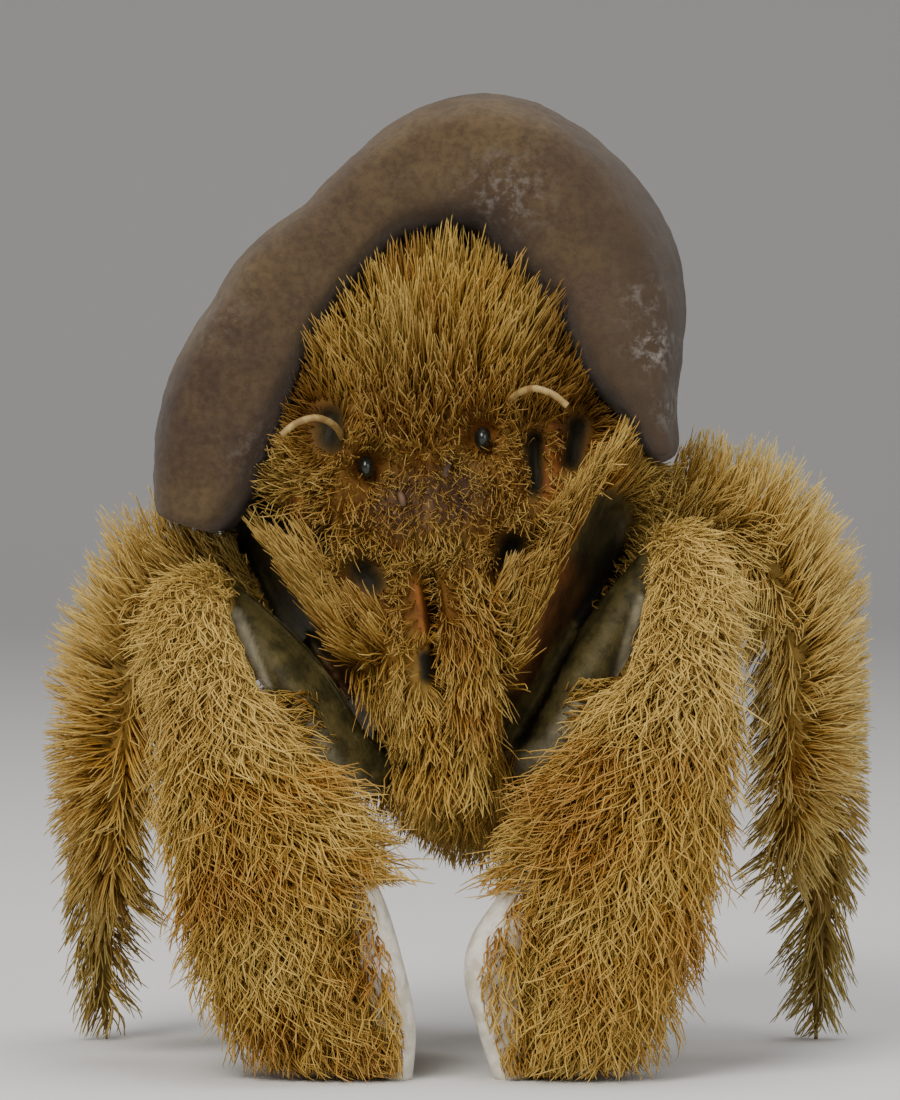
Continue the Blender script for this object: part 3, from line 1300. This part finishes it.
def sponge_material():
    finish = Finish("sponge")
    tone = finish.ramp(finish.noise(0.06, 4.0, 0.6), SPONGE_TONES)
    pores = finish.ramp(finish.noise(1.1, 6.0, 0.65), PORE_TONES)
    colour = finish.mix(0.7, tone, pores, "MULTIPLY")
    colour = finish.mix(finish.ease(finish.axis("X"), 10.0, 24.0, 0.8), colour, SPONGE_LEFT_END)
    colour = finish.mix(finish.value("inner"), colour, SPONGE_INNER)
    flecks = finish.ease(finish.noise(0.8, 6.0, 0.7), 0.48, 0.70, kind="LINEAR")
    colour = finish.mix(finish.maths("MULTIPLY", flecks, finish.value("speck")), colour, SPONGE_SPECK)
    finish.shade({"Base Color": colour, "Roughness": 0.85, "Specular IOR Level": 0.25})
    finish.shade({"Sheen Weight": 0.1, "Sheen Roughness": 0.6})
    finish.bump(finish.noise(3.2, 6.0, 0.7), 0.5, 0.35)
    return finish.material


def plain_material(name, colours, roughness, scale, bump_depth=0.0):
    """A finish whose colour drifts between two tones, with a fine grain."""
    finish = Finish(name)
    drift = finish.noise(scale)
    tone = finish.ramp(drift, tuple(zip((0.35, 0.65), colours)))
    finish.shade({"Base Color": tone, "Roughness": roughness})
    if bump_depth:
        finish.bump(drift, 0.4, bump_depth)
    return finish.material


# Sponge

def sponge_rings(count=96, side_points=22):
    last = len(SPONGE_RIM) - 1
    rings = []
    for k in range(count + 1):
        place_on = last * k / count
        x, z, half, front = spline_at(SPONGE_RIM, place_on)
        ahead = spline_at(SPONGE_RIM, min(place_on + 0.05, last))
        behind = spline_at(SPONGE_RIM, max(place_on - 0.05, 0))
        along = unit(np.array((ahead[0] - behind[0], 0.0, ahead[1] - behind[1])))
        outward = np.array((-along[2], 0.0, along[0]))
        from_end = min(k, count - k) / count
        shrink = mix(SPONGE_END, 1.0, math.sin(min(from_end / 0.04, 1.0) * math.pi / 2))
        outer, inner = [], []
        for n in range(side_points + 1):
            s = n / side_points
            eased = 0.5 - 0.5 * math.cos(math.pi * s)
            y = mix(front, SPONGE_BACK, eased)
            thickness = half * shrink * (1 - SPONGE_THINNING * eased ** 2)
            rounding = max(math.sin(math.pi * s), 0.0) ** 0.36
            lean = -SPONGE_TUCK * eased ** 2.6
            drift = SPONGE_DRIFT * (y - front) * eased
            here = np.array((x, 0.0, z)) + np.array((drift, y, 0.0)) + outward * lean
            outer.append(here + outward * thickness * rounding)
            inner.append(here - outward * thickness * rounding)
        rings.append(outer + inner[-2:0:-1])
    return rings


def make_sponge():
    sponge = ring_mesh("sponge", sponge_rings())
    remesh(sponge, SPONGE_VOXEL, 4)
    points, normals = mesh_points(sponge), mesh_normals(sponge)
    move = lump(points, 14.0, 1) * 0.7 + lump(points, 5.0, 2) * 0.28 + lump(points, 1.6, 3) * 0.12
    points = points + normals * (move + 0.1)[:, None]
    set_points(sponge, points)
    add_values(sponge, "root", points)
    speck = np.zeros(len(points))
    for (x, z), radius, strength in SPONGE_SPECKS:
        away = np.hypot(points[:, 0] - x, points[:, 2] - z)
        speck = np.maximum(speck, strength * np.exp(-(away / radius) ** 2))
    speck = speck * smoothstep(-6.0, -16.0, points[:, 1])
    add_values(sponge, "speck", speck)
    own = spline_at(SPONGE_RIM, np.linspace(0, len(SPONGE_RIM) - 1, 60))
    gap = np.linalg.norm(points[:, None, (0, 2)] - own[None, :, :2], axis=2)
    middle = own[gap.argmin(1)]
    centre = np.array((-3.0, 74.0))
    inward = ((centre - middle[:, :2]) * (points[:, (0, 2)] - middle[:, :2])).sum(1)
    add_values(sponge, "inner", smoothstep(0.0, 260.0, inward) * 0.75)
    sponge.data.materials.append(sponge_material())
    place(sponge, ["sponge_cap"], "sponge")
    return sponge


# Small separate parts

def make_eyes():
    glossy = plain_material("eye", ((0.004, 0.005, 0.004), (0.012, 0.014, 0.010)), 0.22, 0.6)
    for name, centre in EYE_PLACES.items():
        eye = blob("eyeball_" + name, centre, EYE_RADII, 32)
        dress(eye, glossy, "eye_" + name, "eye")


def make_fingers():
    ivory = plain_material("finger", ((0.55, 0.50, 0.40), (0.78, 0.74, 0.64)), 0.32, 0.5, 0.08)
    made = {}
    for name, stations in (("right", FINGER_RIGHT), ("left", FINGER_LEFT)):
        finger = ring_mesh("finger_" + name, tube_rings(stations, -0.05, 28, 12))
        points = mesh_points(finger)
        points[:, 2] = np.maximum(points[:, 2], 0.0)
        set_points(finger, points)
        dress(finger, ivory, "cheliped_%s_finger" % name, "claw")
        made[name] = finger
    return made


def make_feelers():
    horn = plain_material("feeler", ((0.20, 0.115, 0.03), (0.36, 0.25, 0.08)), 0.6, 0.8, 0.05)
    mauve = plain_material("small_feeler", ((0.05, 0.024, 0.013), (0.12, 0.065, 0.030)), 0.7, 0.6, 0.05)
    for name, side in (("right", -1), ("left", 1)):
        eye = EYE_PLACES[name]
        base = eye + Vector((side * 2.6, 2.0, 3.2))
        antenna = (
            (*base, 0.22, 0.22),
            (*(base + Vector((side * 1.2, -3.6, 1.8))), 0.16, 0.16),
            (*(base + Vector((side * 3.2, -5.6, 2.6))), 0.13, 0.13),
            (*(base + Vector((side * 5.4, -6.6, 2.0))), 0.11, 0.11),
            (*(base + Vector((side * 7.2, -6.8, 0.6))), 0.08, 0.08),
        )
        base = eye + Vector((-side * 3.6, 1.0, -2.0))
        antennule = (
            (*base, 0.40, 0.40),
            (*(base + Vector((-side * 0.5, -3.0, -1.2))), 0.32, 0.32),
            (*(base + Vector((-side * 0.8, -3.1, -2.4))), 0.20, 0.20),
        )
        for kind, stations, finish in (("antenna", antenna, horn), ("antennule", antennule, mauve)):
            node = "%s_%s" % (kind, name)
            made = ring_mesh("feeler_" + node, tube_rings(stations, 0.0, 12, 12))
            dress(made, finish, node, "shell")


# Skin and coat together

def skin_nodes():
    """The nodes of flesh, which the one skin and its coat stand for."""
    kept = ("sponge_cap", "eye_", "antenna", "antennule")
    return [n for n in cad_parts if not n.startswith(kept) and not n.endswith("finger")]


# Station of a claw up to which its arm is bare, and the height below which the crab's underside is half bare
ARM_END = 3.2
BELLY_HEIGHT = 36.0


def paint_skin(skin, which, where):
    """Store where the skin is bare, pale, amber, flesh coloured or in deep shade."""
    points = mesh_points(skin)
    view = points[:, (0, 2)]
    body = (which < 0).astype(float)
    marks = {name: np.zeros(len(points)) for name in ("bare", "pale", "amber", "flesh", "deep")}

    def paint(name, a, b, radius, strength=1.0, power=2, area=body):
        marks[name] = np.maximum(marks[name], area * stroke_share(view, a, b, radius, power) * strength)

    for a, b, radius, _ in GROOVES:
        paint("bare", a, b, radius * 1.25, power=4)
        paint("deep", a, b, radius * 0.7, 0.7)
    for a, b, radius, _ in HOLLOWS:
        paint("bare", a, b, radius, 0.8, 4)
        paint("deep", a, b, radius * 1.1, 0.95)
    for name, strokes, strength, power in (
        ("amber", WALLS, 1.0, 4), ("amber", AMBER_STROKES, 0.75, 2),
        ("deep", VALLEYS, 1.0, 4), ("amber", RUSTY_WALLS, 0.55, 4),
    ):
        for stroke in strokes:
            paint(name, *stroke, strength, power)
    paint("deep", *MOUTH_SLIT, 0.55)
    paint("flesh", *FACE_MIDDLE, power=4)
    for *rim, strength in PALE_RIMS:
        paint("pale", *rim, strength, 4, points[:, 1] < GROOVE_BACK)
    for centre in EYE_PLACES.values():
        paint("amber", (centre.x, centre.z), (centre.x + 0.1, centre.z), 2.2, 0.7)
    marks["bare"][((which == 0) | (which == 1)) & (where < ARM_END)] = 1.0
    marks["bare"][(body > 0) & (points[:, 2] < BELLY_HEIGHT) & (points[:, 1] < 0)] = 0.5
    add_values(skin, "root", points)
    for name, values in marks.items():
        add_values(skin, name, values)


# Coat as a whole

COAT_HAIRS = 62000
FINGER_HAIRS = 1100
HAIR_WIDTH = (0.17, 0.27)
# Share of hairs that are short and dark, below the others
UNDER_SHARE = 0.35
# How near hairs come to the sponge and the floor, and how far the legs' coats reach on each side
SPONGE_CLEARANCE = 0.15
FLOOR_CLEARANCE = 0.15
COAT_SIDES = (-50.2, 51.6)
# Width of the pale edge of a finger that stays in sight, and how far below the finger's root it begins
FINGER_EDGE = 1.1
FINGER_START = 4.0
# A hair that is cut back to less than this share of its length is left out
SHORTEST_SHARE = 0.3
COAT_PIECES = (
    ("coat_face", ("body",), "front"),
    ("coat_back", ("body",), "back"),
    ("coat_claw_right", ("cheliped_right",), None),
    ("coat_claw_left", ("cheliped_left",), None),
    ("coat_legs_right", ("leg2_right", "leg3_right"), None),
    ("coat_legs_left", ("leg2_left", "leg3_left"), None),
    ("coat_hind_legs", ("leg4_right", "leg4_left", "leg5_right", "leg5_left"), None),
)
# Most hairs in a piece
HAIR_LIMIT = 5800


def coat_roots(skin, which, where, sponge, fingers):
    """Roots of all hairs, with the skin's direction, the form and the station at each."""
    points, normals = mesh_points(skin), mesh_normals(skin)
    density = coat_flow(points, normals, which, where)[4]
    front_bonus = 1.0 + 0.9 * smoothstep(-0.1, 0.5, -normals[:, 1]) * smoothstep(10, -5, points[:, 1])
    density = density * front_bonus * np.where(under_sponge(points, normals, sponge), 0.0, 1.0)
    on_skin = scatter(skin, which, where, density, COAT_HAIRS)
    return (np.concatenate(pair) for pair in zip(on_skin, finger_roots(fingers)))


def make_coat(skin, which, where, sponge, fingers):
    """Draw all hairs, cut them clear of what is near, and make the pieces of each form."""
    roots, facing, form, station = coat_roots(skin, which, where, sponge, fingers)
    lie, length, stand, curl, _, clump = coat_flow(roots, facing, form, station)
    low = RNG.random(len(roots)) < UNDER_SHARE
    length = length * RNG.uniform(0.75, 1.2, len(roots)) * np.where(low, 0.62, 1.0)
    width = RNG.uniform(*HAIR_WIDTH, len(roots)) * np.interp(length, (2.0, 6.0), (0.65, 1.0))
    path = hair_paths(roots, facing, lie, length, stand, curl, clump, SEED + 1)
    not_claw = (form < 0) | (form >= 2)
    share = np.ones(len(roots))
    share[not_claw] = sponge_clear(path[not_claw], tree_of(sponge))
    out = (path[:, :, 0] < COAT_SIDES[0]) | (path[:, :, 0] > COAT_SIDES[1])
    for clear in (free_share(path[:, :, 2] < FLOOR_CLEARANCE), free_share(out), finger_clear(path, form)):
        share = np.minimum(share, clear)
    kept = share > SHORTEST_SHARE
    path, roots, facing, form, share, station, width, length, low = (
        values[kept] for values in (path, roots, facing, form, share, station, width, length, low)
    )
    uv = unwrap(roots, form, station)
    tint = np.clip(RNG.normal(0.3, 0.28, len(roots)), 0, 1)
    shade = np.clip(RNG.normal(0.15, 0.2, len(roots)) + 0.55 * low, 0, 1)
    material = coat_material()
    front = unturned(roots)[:, 1] < FRONT_END
    for name, forms, half in COAT_PIECES:
        mine = np.isin(form, [-1 if f == "body" else LIMB_NAMES.index(f) for f in forms])
        if half:
            mine &= front if half == "front" else ~front
        index = np.flatnonzero(mine)
        parts = max(1, math.ceil(len(index) / HAIR_LIMIT))
        for n in range(parts):
            some = index[n::parts]
            short = length[some] < SHORT_LENGTH
            for kind, steps, own in (("", LONG_HAIR, some[~short]), ("_short", SHORT_HAIR, some[short])):
                if not len(own):
                    continue
                piece = hair_mesh(
                    "%s%s_%d" % (name, kind, n + 1), resample(path[own], share[own], steps),
                    facing[own], width[own], uv[own], tint[own], shade[own], name.startswith("coat_legs"),
                )
                piece.data.materials.append(material)
                place(piece, [], "coat")


def free_share(hit):
    """The share of each path that lies before its first point that is hit."""
    first = np.where(hit.any(1), hit.argmax(1), hit.shape[1])
    return np.clip((first - 1) / (hit.shape[1] - 1), 0, 1)


def finger_line(stations, height):
    """The middle and half width of a finger at some heights."""
    rows = np.asarray(stations, float)
    return (np.interp(-height, -rows[:, 2], rows[:, k]) for k in (0, 3))


def finger_clear(path, form):
    """The share of each path on a claw that leaves the pale edges of its finger and arm in sight."""
    share = np.ones(len(path))
    for n, stations, way in ((0, FINGER_RIGHT, 1), (1, FINGER_LEFT, -1)):
        across, _, height = np.moveaxis(path[form == n], -1, 0)
        middle, half = finger_line(stations, height)
        over = ((across - middle) * way > half - FINGER_EDGE) & (height < stations[0][2] - FINGER_START)
        high, low = PALE_RIMS[n][:2]
        rim = np.interp(height, (low[1], high[1]), (low[0], high[0]))
        over |= ((across - rim) * way > -0.3) & (height > low[1]) & (height < high[1] + 2)
        share[form == n] = free_share(over)
    return share


def tree_of(made):
    points = [Vector(p) for p in mesh_points(made)]
    faces = [tuple(face.vertices) for face in made.data.polygons]
    return BVHTree.FromPolygons(points, faces)


# How far above the skin the sponge is looked for, and how far round that place
UNDER_GAP = 1.6
UNDER_REACH = 8.0


def under_sponge(points, normals, sponge):
    """Which points of the skin the sponge lies on."""
    tree = tree_of(sponge)
    out = np.zeros(len(points), bool)
    for k in range(len(points)):
        probe = Vector(points[k] + normals[k] * UNDER_GAP)
        found, normal, _, _ = tree.find_nearest(probe, UNDER_REACH)
        if found is not None and (probe - found).dot(normal) < 0:
            out[k] = True
    return out


# Studio, in metres. The floor turns up far behind the model

FLOOR_HALF = 3.5
BACKDROP_HEIGHT = 2.6
BACKDROP_Y = 2.4
BACKDROP_BEND = 1.0
FLOOR_COLOUR = (0.72, 0.71, 0.69)
AIR_COLOUR = (0.94, 0.94, 0.96, 1.0)
AIR_STRENGTH = 0.28
# Name, place, side, power, colour
LIGHTS = (
    ("key", (-0.35, -0.75, 0.75), 0.5, 11.0, (1.0, 0.97, 0.92)),
    ("fill", (0.65, -0.7, 0.35), 0.6, 3.0, (0.95, 0.97, 1.0)),
    ("top", (0.1, 0.1, 0.95), 0.6, 5.0, (1.0, 1.0, 1.0)),
)
LIGHT_AIM = Vector((0, 0, 0.05))


def make_studio():
    rows = [(-FLOOR_HALF, 0.0)]
    for turn in np.linspace(0, math.pi / 2, 14):
        y = BACKDROP_Y - BACKDROP_BEND + BACKDROP_BEND * math.sin(turn)
        rows.append((y, BACKDROP_BEND - BACKDROP_BEND * math.cos(turn)))
    rows.append((BACKDROP_Y, BACKDROP_HEIGHT))
    verts = [(x, y, z) for y, z in rows for x in (-FLOOR_HALF, FLOOR_HALF)]
    faces = [(k, k + 1, k + 3, k + 2) for k in range(0, 2 * len(rows) - 2, 2)]
    floor = bpy.data.meshes.new("floor")
    floor.from_pydata(verts, [], faces)
    floor.shade_smooth()
    stage = bpy.data.objects.new("floor", floor)
    bpy.context.scene.collection.objects.link(stage)
    finish = Finish("floor")
    finish.shade({"Base Color": FLOOR_COLOUR, "Roughness": 0.9})
    floor.materials.append(finish.material)
    world = bpy.data.worlds.new("studio")
    world.use_nodes = True
    air = world.node_tree.nodes["Background"].inputs
    air["Color"].default_value = AIR_COLOUR
    air["Strength"].default_value = AIR_STRENGTH
    bpy.context.scene.world = world
    for light in LIGHTS:
        area_light(*light)


def area_light(name, spot, size, power, colour):
    light = bpy.data.lights.new(name, "AREA")
    light.shape = "SQUARE"
    light.size = size
    light.energy = power
    light.color = colour
    made = bpy.data.objects.new(name, light)
    made.location = spot
    made.rotation_euler = (LIGHT_AIM - Vector(spot)).to_track_quat("-Z", "Y").to_euler()
    bpy.context.scene.collection.objects.link(made)


def make_camera():
    lens = bpy.data.cameras.new("camera")
    lens.sensor_fit = "AUTO"
    lens.sensor_width = SENSOR
    lens.lens = SENSOR * VIEW_DISTANCE / VIEW_HEIGHT
    lens.clip_end = 20.0
    camera = bpy.data.objects.new("camera", lens)
    away = Vector((0, -math.cos(VIEW_ELEVATION), math.sin(VIEW_ELEVATION))) * VIEW_DISTANCE
    target = VIEW_TARGET + SHIFT
    camera.location = (target + away) * MM
    camera.rotation_euler = (-away).to_track_quat("-Z", "Y").to_euler()
    bpy.context.scene.collection.objects.link(camera)
    bpy.context.scene.camera = camera


def main():
    make_camera()
    make_studio()
    sponge = make_sponge()
    skin = make_skin()
    which, where = sort_points(mesh_points(skin))
    paint_skin(skin, which, where)
    skin.data.materials.append(skin_material())
    place(skin, skin_nodes(), "coat")
    make_eyes()
    fingers = make_fingers()
    make_feelers()
    make_coat(skin, which, where, sponge, fingers)


main()
